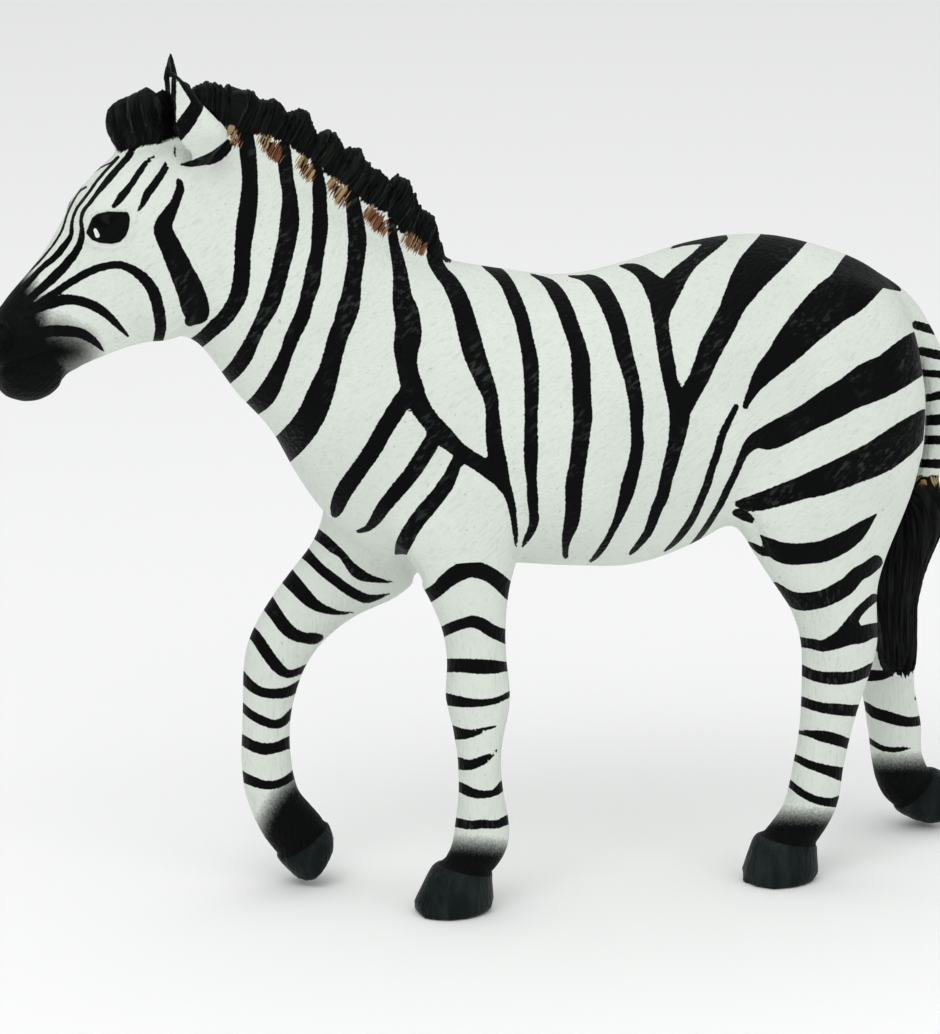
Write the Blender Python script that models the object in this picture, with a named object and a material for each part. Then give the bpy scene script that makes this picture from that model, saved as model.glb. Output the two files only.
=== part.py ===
"""Zebra figurine: a walking plains zebra, moulded in one piece of PVC and painted by hand.

It faces -Y, its left side is +X, and it stands on z = 0: the two left hooves lie flat, and the two
right ones, lifted in mid stride, rest on their toes.
"""

import math

import bpy
from mathutils import Matrix, Vector

# Driving sizes, in metres
LENGTH = 0.125  # muzzle to trailing hoof

# The figure is drawn in units: it is 131 units long, and each coordinate below is in them
UNIT = LENGTH / 131

# How finely the clay is worked, in units
SOFT_CELL = 0.7
SOFT_PASSES = 26
CRISP_CELL = 0.42
CRISP_PASSES = 3
TRIANGLES = 9600
SOLE_SNAP = 0.3

# Cross-sections of the trunk, neck and head, rump to muzzle. Each is its top and bottom point
# in the side view, as y and z, then its half width and how much fuller its upper half is
TRUNK = (
    ((58.0, 67.5), (58.4, 61.0), 3.0, 0.0),
    ((57.0, 72.6), (57.8, 54.5), 8.6, -0.05),
    ((53.4, 77.3), (54.6, 48.5), 11.8, -0.05),
    ((46.5, 80.4), (46.4, 46.0), 13.0, -0.05),
    ((38.5, 82.3), (36.0, 46.6), 13.6, -0.08),
    ((30.0, 81.9), (28.9, 43.2), 13.9, -0.10),
    ((21.5, 79.8), (20.8, 40.9), 14.3, -0.12),
    ((13.0, 78.4), (12.0, 41.4), 14.3, -0.12),
    ((5.0, 79.6), (3.5, 42.4), 13.2, -0.14),
    ((-3.5, 81.4), (-5.0, 43.0), 11.4, -0.16),
    ((-9.5, 83.6), (-12.0, 44.4), 10.2, -0.16),
    ((-14.5, 87.2), (-18.0, 48.8), 9.2, -0.14),
    ((-19.0, 90.6), (-22.3, 54.8), 8.3, -0.10),
    ((-24.0, 94.0), (-25.6, 60.8), 7.4, -0.08),
    ((-28.5, 96.8), (-30.0, 65.6), 6.6, -0.05),
    ((-32.5, 98.4), (-33.6, 70.8), 6.0, 0.0),
    ((-36.5, 98.8), (-36.6, 73.4), 6.2, 0.05),
    ((-40.5, 98.2), (-39.6, 73.0), 6.5, 0.12),
    ((-44.0, 96.5), (-42.9, 72.4), 6.7, 0.16),
    ((-47.0, 94.2), (-46.0, 71.4), 6.3, 0.18),
    ((-49.6, 91.0), (-48.8, 70.4), 5.3, 0.10),
    ((-52.0, 87.4), (-51.0, 69.4), 4.5, 0.02),
    ((-54.8, 83.4), (-52.2, 67.4), 4.3, 0.0),
    ((-57.6, 80.4), (-54.2, 66.2), 4.6, 0.05),
    ((-59.7, 77.4), (-56.8, 66.2), 4.6, 0.05),
    ((-60.9, 74.0), (-59.6, 67.2), 3.4, 0.0),
)

# Where the legs of each side stand across the body, and how far further in their tops start
NEAR_X = 9.0
FAR_X = -8.0
FORE_INSETS = (3.6, 2.4, 1.3, 0.6, 0.1)
HIND_INSETS = (2.6, 1.4, 0.8, 0.4, 0.2)

# Cross-sections of the legs, shoulder or hip to coronet: front point, back point, half width
NEAR_FORE = (
    ((-13.0, 66.0), (0.0, 68.0), 3.0),
    ((-15.6, 59.0), (4.0, 60.0), 4.4),
    ((-14.4, 51.0), (5.2, 52.0), 4.9),
    ((-11.2, 45.2), (3.9, 46.0), 4.7),
    ((-8.4, 40.5), (2.3, 40.5), 4.2),
    ((-6.4, 35.6), (1.9, 35.4), 3.8),
    ((-5.9, 31.2), (2.1, 31.4), 3.7),
    ((-6.4, 27.6), (2.7, 28.2), 3.9),
    ((-5.5, 24.6), (2.3, 24.6), 3.4),
    ((-4.9, 21.4), (1.5, 21.4), 3.1),
    ((-4.5, 17.6), (1.4, 17.6), 3.0),
    ((-4.5, 14.0), (2.0, 13.8), 3.1),
    ((-5.1, 11.0), (2.7, 10.3), 3.5),
    ((-5.0, 8.6), (2.1, 7.2), 3.5),
    ((-6.8, 6.2), (-0.1, 4.4), 3.6),
)
NEAR_HIND = (
    ((39.0, 72.5), (53.6, 71.5), 3.4),
    ((34.4, 66.0), (57.8, 64.5), 5.0),
    ((31.0, 57.5), (57.9, 56.5), 5.8),
    ((30.8, 50.5), (56.2, 49.5), 5.8),
    ((33.4, 44.6), (53.4, 43.4), 5.3),
    ((36.7, 39.4), (51.4, 38.0), 4.7),
    ((39.8, 34.8), (51.5, 34.2), 4.1),
    ((41.0, 30.6), (51.8, 30.8), 3.9),
    ((41.0, 26.2), (50.7, 26.4), 3.5),
    ((41.0, 22.2), (49.2, 22.2), 3.2),
    ((40.7, 18.2), (48.1, 18.0), 3.1),
    ((39.9, 14.2), (47.2, 13.8), 3.1),
    ((39.5, 11.0), (46.7, 9.8), 3.5),
    ((38.6, 8.8), (45.3, 7.0), 3.5),
    ((35.8, 6.2), (43.6, 4.4), 3.6),
)
FAR_FORE = (
    ((-15.0, 64.0), (0.0, 66.0), 3.0),
    ((-18.0, 57.0), (2.0, 57.0), 4.6),
    ((-17.2, 50.6), (0.0, 47.4), 4.9),
    ((-18.1, 45.4), (-5.4, 37.8), 4.7),
    ((-22.0, 40.2), (-12.6, 34.7), 4.3),
    ((-25.2, 35.8), (-16.7, 31.7), 3.9),
    ((-27.2, 31.6), (-19.2, 28.6), 3.9),
    ((-27.6, 28.0), (-20.1, 26.2), 3.7),
    ((-27.7, 24.6), (-20.8, 23.8), 3.3),
    ((-28.0, 20.2), (-21.2, 20.0), 3.1),
    ((-28.1, 16.6), (-20.9, 16.2), 3.1),
    ((-27.8, 13.2), (-20.3, 12.6), 3.4),
    ((-26.9, 10.0), (-18.4, 10.4), 3.5),
    ((-25.3, 6.4), (-16.9, 8.8), 3.5),
    ((-23.1, 3.4), (-16.3, 7.2), 3.5),
)
FAR_HIND = (
    ((41.0, 72.0), (54.0, 70.0), 3.4),
    ((37.0, 65.0), (57.0, 61.5), 5.0),
    ((35.6, 57.0), (57.6, 53.0), 5.6),
    ((36.4, 48.6), (57.6, 45.0), 5.4),
    ((39.4, 42.0), (58.6, 39.2), 4.9),
    ((44.2, 36.2), (60.6, 34.2), 4.4),
    ((49.6, 31.0), (62.4, 30.2), 4.0),
    ((53.4, 26.8), (63.8, 27.0), 3.8),
    ((55.4, 22.6), (64.0, 22.8), 3.4),
    ((56.3, 18.8), (64.0, 19.2), 3.2),
    ((57.0, 15.2), (65.0, 15.6), 3.3),
    ((57.6, 11.8), (65.2, 12.4), 3.5),
    ((58.2, 8.0), (64.8, 10.4), 3.5),
    ((59.2, 4.6), (65.8, 9.2), 3.5),
    ((61.0, 2.6), (66.8, 8.0), 3.5),
)

# Hooves: where across, coronet front and back, toe and heel, half widths above and below
HOOVES = (
    (NEAR_X, (-7.3, 6.3), (-0.2, 4.6), (-10.5, 0.0), (0.2, 0.0), 3.6, 4.7),
    (NEAR_X, (35.5, 6.2), (43.4, 4.4), (33.5, 0.0), (43.8, 0.0), 3.6, 4.7),
    (FAR_X, (-23.3, 3.6), (-16.5, 8.0), (-19.8, 0.0), (-15.7, 5.4), 3.5, 4.1),
    (FAR_X, (61.3, 2.5), (67.0, 8.0), (66.4, 0.0), (70.4, 5.6), 3.5, 4.1),
)
TOE_FULLNESS = 0.12

# Soft masses on both sides, for the left: the middle, the half sizes and the tilt about X
MASSES = (
    ((6.4, -8.5, 62.0), (4.0, 6.8, 14.0), -20),  # shoulder
    ((7.4, -0.5, 53.5), (4.2, 6.0, 8.0), 0),  # elbow
    ((6.6, 45.5, 66.0), (5.9, 11.5, 12.5), 20),  # rump
    ((3.4, -39.6, 80.4), (3.7, 5.6, 7.4), -8),  # cheek
    ((4.2, -46.8, 89.6), (2.0, 4.0, 2.6), 35),  # eyelids
    ((2.6, -57.4, 73.6), (2.5, 2.9, 4.2), 20),  # nostril
)
EYE = ((5.5, -46.8, 88.6), (1.6, 2.3, 1.7), 12)

# The mane: points on the crest of the neck and on the top outline above them, poll to withers
MANE = (
    ((-36.5, 98.8), (-37.3, 105.0)),
    ((-31.5, 98.3), (-32.1, 104.1)),
    ((-27.5, 96.2), (-27.4, 102.4)),
    ((-23.2, 93.8), (-22.8, 100.4)),
    ((-18.8, 90.6), (-18.2, 97.8)),
    ((-14.4, 87.3), (-13.5, 94.2)),
    ((-10.2, 84.4), (-9.2, 90.6)),
    ((-6.8, 82.4), (-5.4, 86.4)),
    ((-5.2, 81.4), (-4.4, 83.0)),
)
MANE_HALF_WIDTH = 2.3
MANE_FULLNESS = -0.2
TUFTS = 11
TUFT_WIDTH_GAIN = 0.25  # how far a tuft stands out sideways from the ridge
TUFT_HALF_DEPTH = 2.25
FORELOCK = (
    ((0, -36.4, 102.2), (2.5, 3.2, 4.0), 6),
    ((0, -39.4, 100.6), (2.8, 2.8, 3.7), 20),
    ((0, -41.9, 99.9), (2.6, 2.5, 3.5), 30),
    ((0, -43.6, 99.2), (2.2, 2.2, 3.3), 25),
)

# An ear is a leaf rolled to a cup: from its root up, the depth front to back and the half width
EAR_ROOT = (4.3, -37.0, 94.0)
EAR_TIP = (6.4, -38.4, 106.2)
EAR_LEAF = ((2.0, 1.3), (3.6, 2.2), (5.4, 2.8), (6.1, 2.9), (5.2, 2.5), (3.4, 1.8), (0.8, 0.4))
EAR_WALL = 1.0
EAR_ARC_STEPS = 8
FAR_EAR_SHIFT = (0.0, 0.7, 1.2)

DOCK = (
    ((54.2, 76.7), (56.0, 68.0), 2.8),
    ((58.4, 73.8), (56.8, 67.0), 2.4),
    ((61.2, 70.2), (58.2, 66.4), 2.0),
    ((63.4, 65.6), (60.2, 64.0), 1.8),
    ((64.6, 59.0), (61.2, 58.8), 1.7),
    ((64.2, 53.0), (61.0, 53.2), 1.6),
    ((63.2, 48.6), (60.2, 49.4), 1.6),
    ((62.6, 46.0), (59.6, 46.6), 1.5),
)
TASSEL = (
    ((63.0, 49.8), (60.2, 50.2), 1.4),
    ((64.2, 45.8), (58.6, 47.0), 2.2),
    ((63.8, 42.0), (56.4, 43.0), 2.7),
    ((62.0, 38.0), (53.7, 38.8), 2.8),
    ((60.7, 33.4), (54.1, 33.6), 2.6),
    ((60.7, 28.0), (55.2, 28.2), 2.4),
    ((60.6, 24.6), (55.6, 25.4), 1.9),
    ((59.6, 23.4), (56.6, 24.2), 0.8),
)


def curve_through(rows, steps):
    """Rows of numbers on a smooth curve through the given rows, with so many steps between two."""
    rows = [tuple(row) for row in rows]
    padded = [rows[0], *rows, rows[-1]]
    smooth = []
    for i in range(len(rows) - 1):
        before, start, end, after = padded[i : i + 4]
        for step in range(steps):
            t = step / steps
            smooth.append(
                tuple(
                    0.5 * (2 * b + (c - a) * t + (2 * a - 5 * b + 4 * c - d) * t * t
                           + (3 * b - a - 3 * c + d) * t ** 3)
                    for a, b, c, d in zip(before, start, end, after)
                )
            )
    return [*smooth, rows[-1]]


def skin(name, rings):
    """A closed mesh over rings of points, in units, with a cap on each end."""
    count = len(rings[0])
    points = [point * UNIT for ring in rings for point in ring]
    faces = [tuple(range(count)), tuple(reversed(range(len(points) - count, len(points))))]
    for i in range(len(rings) - 1):
        for k in range(count):
            near, far = i * count, (i + 1) * count
            after = (k + 1) % count
            faces.append((near + after, near + k, far + k, far + after))
    mesh = bpy.data.meshes.new(name)
    mesh.from_pydata(points, [], faces)
    piece = bpy.data.objects.new(name, mesh)
    bpy.context.scene.collection.objects.link(piece)
    return piece


def loft(name, sections, sides=24, steps=3):
    """A skin over sections: two ends in the side view, half width, upper fullness and middle."""
    rows = [(*first, *last, *rest) for first, last, *rest in sections]
    rings = []
    for top_y, top_z, low_y, low_z, width, fullness, middle_x in curve_through(rows, steps):
        middle = Vector((middle_x, (top_y + low_y) / 2, (top_z + low_z) / 2))
        arm = Vector((0, (top_y - low_y) / 2, (top_z - low_z) / 2))
        ring = []
        for k in range(sides):
            angle = 2 * math.pi * k / sides
            across = width * math.sin(angle) * (1 + fullness * math.cos(angle))
            ring.append(middle + arm * math.cos(angle) + Vector((across, 0, 0)))
        rings.append(ring)
    return skin(name, rings)


def ball(name, middle, radii, tilt):
    """An ellipsoid in units, tilted about X, in degrees."""
    bpy.ops.mesh.primitive_ico_sphere_add(subdivisions=3, radius=1)
    piece = bpy.context.active_object
    piece.name = name
    turned = Matrix.Translation(middle) @ Matrix.Rotation(math.radians(tilt), 4, "X")
    piece.data.transform(Matrix.Scale(UNIT, 4) @ turned @ Matrix.Diagonal((*radii, 1)))
    return piece


def modified(piece, kind, **settings):
    """Applies one modifier to the piece, so that the next works on its result."""
    modifier = piece.modifiers.new(kind.title(), kind)
    for setting, value in settings.items():
        setattr(modifier, setting, value)
    bpy.context.view_layer.objects.active = piece
    bpy.ops.object.modifier_apply(modifier=modifier.name)


def pressed_together(name, pieces, cell, smoothing):
    """The pieces as one body of even cells, its seams smoothed so many times."""
    bpy.ops.object.select_all(action="DESELECT")
    for piece in pieces:
        piece.select_set(True)
    body = pieces[0]
    bpy.context.view_layer.objects.active = body
    bpy.ops.object.join()
    body.name = name
    modified(body, "REMESH", mode="VOXEL", voxel_size=cell * UNIT, adaptivity=0.0)
    modified(body, "SMOOTH", factor=0.5, iterations=smoothing)
    return body


def leg(name, sections, foot_x, insets):
    """A leg without its hoof. Its upper end is inside the trunk."""
    inward = -math.copysign(1, foot_x)
    insets = [*insets, *[0.0] * (len(sections) - len(insets))]
    return loft(
        name,
        [(*section, 0.0, foot_x + inward * inset) for section, inset in zip(sections, insets)],
        sides=16,
    )


def hoof(name, middle_x, coronet_front, coronet_back, toe, heel, upper_width, ground_width):
    """A horn shoe: wide and round at the toe, flat below."""
    coronet = (coronet_front, coronet_back, upper_width, TOE_FULLNESS, middle_x)
    ground = (toe, heel, ground_width, TOE_FULLNESS, middle_x)
    return loft(name, (coronet, ground), sides=32, steps=6)


def both_sides(name, middle, radii, tilt):
    """The same ball on the left and on the right."""
    x, y, z = middle
    return [ball(f"{name}_{side}", (at_x, y, z), radii, tilt) for side, at_x in (("l", x), ("r", -x))]


def mane():
    """A ridge of hair along the crest and the tufts that stand out of it."""
    line = curve_through([(*crest, *top) for crest, top in MANE], 8)
    sections = []
    for crest_y, crest_z, top_y, top_z in line:
        crest, top = Vector((crest_y, crest_z)), Vector((top_y, top_z))
        ridge_top, root = top.lerp(crest, 0.12), crest.lerp(top, -0.35)
        sections.append((ridge_top, root, MANE_HALF_WIDTH, MANE_FULLNESS, 0.0))
    pieces = [loft("mane_ridge", sections, sides=12, steps=1)]
    for n in range(TUFTS):
        crest_y, crest_z, top_y, top_z = line[round((n + 0.5) / TUFTS * (len(line) - 1))]
        rise = Vector((top_y - crest_y, top_z - crest_z))
        middle = Vector((top_y, top_z)) - rise * 0.42
        tilt = math.degrees(math.atan2(-rise.x, rise.y))
        tuft = (MANE_HALF_WIDTH + TUFT_WIDTH_GAIN, TUFT_HALF_DEPTH, rise.length * 0.47)
        pieces.append(ball(f"tuft_{n}", (0, *middle), tuft, tilt))
    return pieces


def ear(name, side, shift):
    """One wall of even thickness, round at the back and open at the front."""
    root, tip = Vector(EAR_ROOT) + Vector(shift) * 0.3, Vector(EAR_TIP) + Vector(shift)
    rings = []
    leaf = curve_through(EAR_LEAF, 2)
    for level, (depth, half_width) in enumerate(leaf):
        middle = root.lerp(tip, level / (len(leaf) - 1))
        outer, inner = [], []
        for k in range(EAR_ARC_STEPS + 1):
            angle = math.pi * k / EAR_ARC_STEPS
            across, back = math.cos(angle), math.sin(angle)
            outer.append(middle + Vector((half_width * across, depth * back, 0)))
            inside_width = max(half_width - EAR_WALL, 0.15 * half_width)
            inside_depth = max(depth - EAR_WALL, 0.15 * depth)
            inner.append(middle + Vector((inside_width * across, inside_depth * back, 0)))
        ring = [*outer, *reversed(inner)]
        rings.append([Vector((side * point.x, point.y, point.z)) for point in ring])
    return skin(name, rings)


def main():
    for old in list(bpy.data.objects):
        bpy.data.objects.remove(old)

    soft = [loft("trunk", [(*section, 0.0) for section in TRUNK], sides=28, steps=4)]
    soft.append(leg("near_fore", NEAR_FORE, NEAR_X, FORE_INSETS))
    soft.append(leg("near_hind", NEAR_HIND, NEAR_X, HIND_INSETS))
    soft.append(leg("far_fore", FAR_FORE, FAR_X, FORE_INSETS))
    soft.append(leg("far_hind", FAR_HIND, FAR_X, HIND_INSETS))
    for n, mass in enumerate(MASSES):
        soft += both_sides(f"mass_{n}", *mass)
    body = pressed_together("zebra", soft, SOFT_CELL, SOFT_PASSES)

    crisp = [body]
    crisp += [hoof(f"hoof_{n}", *sizes) for n, sizes in enumerate(HOOVES)]
    crisp += mane()
    crisp += [ball(f"forelock_{n}", *tuft) for n, tuft in enumerate(FORELOCK)]
    crisp += [ear("ear_near", 1, (0, 0, 0)), ear("ear_far", -1, FAR_EAR_SHIFT)]
    crisp.append(loft("dock", [(*section, 0.0, 0.0) for section in DOCK], sides=16))
    crisp.append(loft("tassel", [(*section, 0.0, 0.0) for section in TASSEL], sides=20))
    crisp += both_sides("eye", *EYE)
    zebra = pressed_together("zebra", crisp, CRISP_CELL, CRISP_PASSES)
    modified(zebra, "DECIMATE", ratio=TRIANGLES / (2 * len(zebra.data.polygons)))

    # Flat soles, and the middle of the footprint at the origin
    mesh = zebra.data
    for vertex in mesh.vertices:
        if vertex.co.z < SOLE_SNAP * UNIT:
            vertex.co.z = 0.0
    low = [min(vertex.co[axis] for vertex in mesh.vertices) for axis in range(2)]
    high = [max(vertex.co[axis] for vertex in mesh.vertices) for axis in range(2)]
    centre = [(a + b) / 2 for a, b in zip(low, high)]
    mesh.transform(Matrix.Translation((-centre[0], -centre[1], 0)))
    mesh.shade_smooth()

    paint = bpy.data.materials.new("painted_pvc")
    paint.use_nodes = True
    shader = paint.node_tree.nodes["Principled BSDF"]
    shader.inputs["Base Color"].default_value = (0.75, 0.80, 0.77, 1)
    shader.inputs["Roughness"].default_value = 0.5
    mesh.materials.clear()
    mesh.materials.append(paint)


main()
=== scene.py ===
"""A painted toy zebra, dressed for its photograph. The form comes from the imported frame."""

import bpy
import numpy as np
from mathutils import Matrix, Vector


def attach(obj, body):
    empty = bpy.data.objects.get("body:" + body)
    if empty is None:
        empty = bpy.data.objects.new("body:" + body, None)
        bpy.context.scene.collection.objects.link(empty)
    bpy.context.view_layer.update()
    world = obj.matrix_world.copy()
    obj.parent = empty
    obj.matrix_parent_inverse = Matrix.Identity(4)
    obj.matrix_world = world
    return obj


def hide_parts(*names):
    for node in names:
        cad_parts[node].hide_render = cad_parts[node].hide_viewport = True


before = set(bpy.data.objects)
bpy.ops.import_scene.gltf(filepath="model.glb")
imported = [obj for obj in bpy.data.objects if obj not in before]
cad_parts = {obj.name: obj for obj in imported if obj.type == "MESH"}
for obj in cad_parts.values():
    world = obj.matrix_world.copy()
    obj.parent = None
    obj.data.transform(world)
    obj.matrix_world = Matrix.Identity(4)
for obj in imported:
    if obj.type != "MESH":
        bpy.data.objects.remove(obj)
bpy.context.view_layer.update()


# Camera
# The photograph was taken with a long lens from the toy's left, a little ahead of it and above it.
# The paint is laid on through this same view, so each stripe falls where the photograph has it.
AIM = Vector((0.0, -0.00460, 0.04605))
AWAY = Vector((0.92927, -0.29300, 0.22495))
DISTANCE = 0.57252
PHOTO_WIDTH, PHOTO_HEIGHT = 940, 1034
FOCAL_PIXELS = 4800.0
SENSOR = 36.0  # millimetres
CLIPS = (0.01, 20.0)  # metres

bpy.ops.object.select_all(action="DESELECT")
eyepoint = AIM + AWAY.normalized() * DISTANCE
bpy.ops.object.camera_add(location=eyepoint)
camera = bpy.context.object
camera.name = "camera"
camera.rotation_euler = (AIM - eyepoint).to_track_quat("-Z", "Y").to_euler()
camera.data.sensor_fit = "VERTICAL"
camera.data.sensor_height = SENSOR
camera.data.lens = FOCAL_PIXELS / PHOTO_HEIGHT * SENSOR
camera.data.clip_start, camera.data.clip_end = CLIPS
bpy.context.scene.camera = camera

ahead = (AIM - eyepoint).normalized()
across = ahead.cross(Vector((0, 0, 1))).normalized()
upward = across.cross(ahead)


def seen_at(points):
    """Where points in metres fall in the photograph, in its pixels."""
    offset = points - np.array(eyepoint)
    depth = offset @ np.array(ahead)
    right = FOCAL_PIXELS * (offset @ np.array(across)) / depth
    up = FOCAL_PIXELS * (offset @ np.array(upward)) / depth
    return np.stack((PHOTO_WIDTH / 2 + right, PHOTO_HEIGHT / 2 - up), axis=1)


def seen_mirrored(points):
    """The same, with the toy's right side mirrored to its left."""
    mirrored = points.copy()
    mirrored[:, 0] = np.abs(mirrored[:, 0])
    return seen_at(mirrored)


# Body
# The toy is one solid casting of soft PVC. Its skin has fine fur strokes, folds at the joints and
# combed hair in the mane, forelock and tail, all cut in the mould.
SKIN_CELL = 0.0006  # metres
SKIN_PASSES = 9  # of smoothing, over the whole skin
FINE_PASSES = 3  # and again after its faces are cut finer
SMOOTHING, EAR_SOFTNESS = 0.5, 0.3
MM = 0.001  # metres
UNIT = 0.125 / 131  # one drawing unit of the casting, in metres
MIDDLE = -4.82  # the drawing's middle along the length, in its units

# the mane's root and top edge along the neck, and the tail's front edge, as length and height in units
MANE_ROOT = ((-40, 97.0), (-36.5, 97.4), (-31.5, 96.6), (-27.5, 94.6), (-23.2, 92.0), (-18.8, 88.8),
             (-14.4, 85.4), (-10.2, 82.4), (-6.8, 80.6), (-3.5, 79.5))
TAIL_FRONT = ((76.7, 55.6), (70, 56.2), (66.4, 57.8), (64, 59.6), (58.8, 60.6), (53.2, 60.4),
              (49.4, 59.4), (47, 57.6), (43, 55.2), (38.8, 52.6), (33.6, 53.0), (28.2, 54.2),
              (25.4, 54.6), (23.4, 55.6))
TASSEL_TOP = 49.6
TAIL_HALF_WIDTH = 4.2
# where thin strokes end on the near flank, thigh and throat, in pixels of the photograph
STROKE_ENDS = ((736, 409), (746, 404), (744, 517), (763, 541), (875, 517), (208, 317))
END_REACH = 12
# places that several steps share, in units
EAR_GAP = 2.6  # the ears stand farther out than this on each side
FACE_BACK = -40  # the face lies ahead of this length
MANE_FOOT = 76  # the mane lies above this height
EYE_FOOT = 80  # and the eyes above this one
LEG_TOP, NEAR_LEG_TOP = 50, 46  # the right legs lie below the first height, the left ones the second
FETLOCK_TOP = 22  # the sprayed part of each leg lies below this height
TAIL_FOOT, TAIL_ROOT = 20, 72


def deselect_all():
    bpy.ops.object.select_all(action="DESELECT")


def make_active(piece):
    deselect_all()
    piece.select_set(True)
    bpy.context.view_layer.objects.active = piece


def apply_modifier(piece, kind, **settings):
    make_active(piece)
    bpy.ops.object.modifier_add(type=kind)
    modifier = piece.modifiers[-1]
    for name, value in settings.items():
        setattr(modifier, name, value)
    bpy.ops.object.modifier_apply(modifier=modifier.name)


def corners(piece):
    flat = np.empty(len(piece.data.vertices) * 3)
    piece.data.vertices.foreach_get("co", flat)
    return flat.reshape(-1, 3)


def outward(piece):
    flat = np.empty(len(piece.data.vertices) * 3)
    piece.data.vertices.foreach_get("normal", flat)
    return flat.reshape(-1, 3)


def place_corners(piece, points):
    piece.data.vertices.foreach_set("co", points.ravel())
    piece.data.update()


def drawing_units(points):
    units = points / UNIT
    units[:, 1] += -MIDDLE
    return units


def split_faces(piece, chosen):
    """Cuts each face in four where all its corners are chosen."""
    mesh = piece.data
    starts = np.empty(len(mesh.polygons), dtype=int)
    mesh.polygons.foreach_get("loop_start", starts)
    loops = np.empty(len(mesh.loops), dtype=int)
    mesh.loops.foreach_get("vertex_index", loops)
    picked = np.minimum.reduceat(chosen[loops].astype(int), starts).astype(bool)
    mesh.vertices.foreach_set("select", np.zeros(len(mesh.vertices), dtype=bool))
    mesh.edges.foreach_set("select", np.zeros(len(mesh.edges), dtype=bool))
    mesh.polygons.foreach_set("select", picked)
    make_active(piece)
    bpy.context.tool_settings.mesh_select_mode = (False, False, True)
    bpy.ops.object.mode_set(mode="EDIT")
    bpy.ops.mesh.subdivide(number_cuts=1)
    bpy.ops.object.mode_set(mode="OBJECT")


def tail_front(z):
    heights, lengths = np.array(TAIL_FRONT[::-1]).T
    return np.interp(z, heights, lengths)


def hair_zones(units):
    """Which corners belong to the mane with the forelock, and which to the tail's tassel."""
    x, y, z = units.T
    root = np.interp(y, *np.array(MANE_ROOT).T)
    mane = (np.abs(x) < 4.4) & (z > root - 2.5) & (y > -40.5) & (y < -2.5)
    forelock = (np.abs(x) < 4.0) & (y < -34) & (y > -48) & (z > 94)
    tassel = (np.abs(x) < TAIL_HALF_WIDTH) & (z < TASSEL_TOP + 2) & (z > TAIL_FOOT)
    tassel &= y > tail_front(z) - 0.6
    return mane | forelock, tassel


deselect_all()
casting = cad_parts["zebra"]
body = bpy.data.objects.new("zebra_body", casting.data.copy())
bpy.context.scene.collection.objects.link(body)
body.data.name = "zebra_body"
make_active(body)
bpy.ops.object.mode_set(mode="EDIT")
bpy.ops.mesh.select_all(action="SELECT")
bpy.ops.mesh.remove_doubles(threshold=1e-6)
bpy.ops.object.mode_set(mode="OBJECT")
apply_modifier(body, "REMESH", mode="VOXEL", voxel_size=SKIN_CELL, adaptivity=0.0)

units = drawing_units(corners(body))
ears = (units[:, 2] > 95.0) & (np.abs(units[:, 0]) > EAR_GAP) & (units[:, 1] < -33.0)
soft = body.vertex_groups.new(name="soft")
soft.add([int(i) for i in np.flatnonzero(~ears)], 1.0, "REPLACE")
soft.add([int(i) for i in np.flatnonzero(ears)], EAR_SOFTNESS, "REPLACE")
apply_modifier(body, "SMOOTH", factor=SMOOTHING, iterations=SKIN_PASSES, vertex_group="soft")

units = drawing_units(corners(body))
mane_hair, tail_hair = hair_zones(units)
head = (units[:, 1] < -35.6) & (units[:, 2] > 66)
split_faces(body, (head & ~mane_hair) | tail_hair)
units = drawing_units(corners(body))
spots = seen_mirrored(corners(body))
bridge = (units[:, 1] < -42.0) & (spots[:, 0] < 124) & (spots[:, 1] < 300) & (spots[:, 1] > 140)
# the ends of the thin strokes on the flank and thigh need closer corners too
tips = np.zeros(len(spots), dtype=bool)
for end_x, end_y in STROKE_ENDS:
    tips |= (np.hypot(spots[:, 0] - end_x, spots[:, 1] - end_y) < END_REACH) & (units[:, 0] > 2)
split_faces(body, bridge | tips)
apply_modifier(body, "SMOOTH", factor=SMOOTHING, iterations=FINE_PASSES, vertex_group="soft")

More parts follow.
